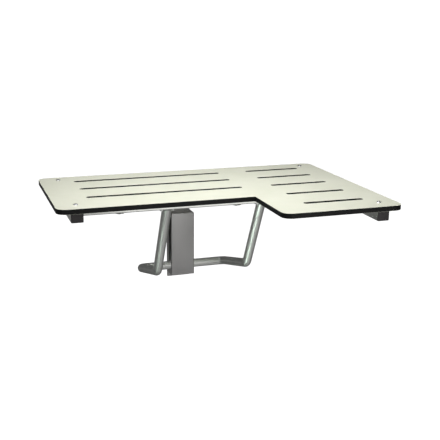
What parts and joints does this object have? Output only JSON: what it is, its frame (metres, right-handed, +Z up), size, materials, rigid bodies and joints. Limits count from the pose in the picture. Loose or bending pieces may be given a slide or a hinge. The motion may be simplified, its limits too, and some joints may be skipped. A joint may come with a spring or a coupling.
{
  "type": "folding wall-mounted shower seat",
  "caption": "L-shaped slotted shower seat that folds up against the wall, on a steel tube frame with a bent tube leg whose crossbar slides in a wall guide.",
  "frame": {"origin": "on the wall's surface, at the centre of the guide bracket's four screw holes", "axes": "+X to the right for someone facing the wall, +Y into the wall, +Z up"},
  "size_m": [0.8382, 0.6082, 0.3389],
  "materials": {
    "panel_face": "satin cream phenolic face",
    "panel_core": "black phenolic core",
    "steel_tube": "satin stainless steel",
    "steel_plate": "brushed stainless sheet",
    "bright_steel": "polished stainless screws and pins",
    "dark_plastic": "dark moulded plastic",
    "nylon": "natural nylon",
    "spring_steel": "spring steel"
  },
  "bodies": {
    "wall": {"left_hinge_bracket": "steel_plate", "right_hinge_bracket": "steel_plate", "left_hinge_bushings": "nylon", "right_hinge_bushings": "nylon", "guide_back_plate": "steel_plate", "guide_channel": "steel_plate", "holding_spring": "spring_steel", "spring_rivets": "bright_steel"},
    "seat": {"seat_top_face": "panel_face", "seat_core": "panel_core", "seat_bottom_face": "panel_face", "left_side_tube": "steel_tube", "right_side_tube": "steel_tube", "front_cross_tube": "steel_tube", "hinge_shaft": "steel_tube", "shaft_collars": "bright_steel", "left_front_cap": "dark_plastic", "right_front_cap": "dark_plastic", "left_rear_cap": "dark_plastic", "right_rear_cap": "dark_plastic", "panel_screws": "bright_steel", "tube_inserts": "bright_steel", "cross_tube_screws": "bright_steel", "left_leg_saddle": "steel_plate", "right_leg_saddle": "steel_plate"},
    "slider": {"guide_sleeve": "nylon"},
    "leg": {"left_leg_tube": "steel_tube", "right_leg_tube": "steel_tube", "leg_joiner": "steel_plate", "left_leg_plug": "steel_plate", "right_leg_plug": "steel_plate", "left_pivot_pin": "bright_steel", "right_pivot_pin": "bright_steel"}
  },
  "joints": [
    {"name": "seat_fold", "type": "hinge", "parent": "wall", "child": "seat", "pos_m": [0, -0.059, 0.1814], "axis": [-1, 0, 0], "range_deg": [0, 90]},
    {"name": "guide_slide", "type": "slide", "parent": "wall", "child": "slider", "axis": [0, 0, 1], "range_m": [0, 0.1486]},
    {"name": "leg_swing", "type": "hinge", "parent": "slider", "child": "leg", "pos_m": [0.0038, -0.0375, -0.079], "axis": [-1, 0, 0], "range_deg": [0, 46.1]}
  ],
  "couplings": [
    {"joint": "guide_slide", "follows": "seat_fold", "m_per_rad": 0.094507},
    {"joint": "leg_swing", "follows": "seat_fold", "ratio": 0.51157}
  ]
}
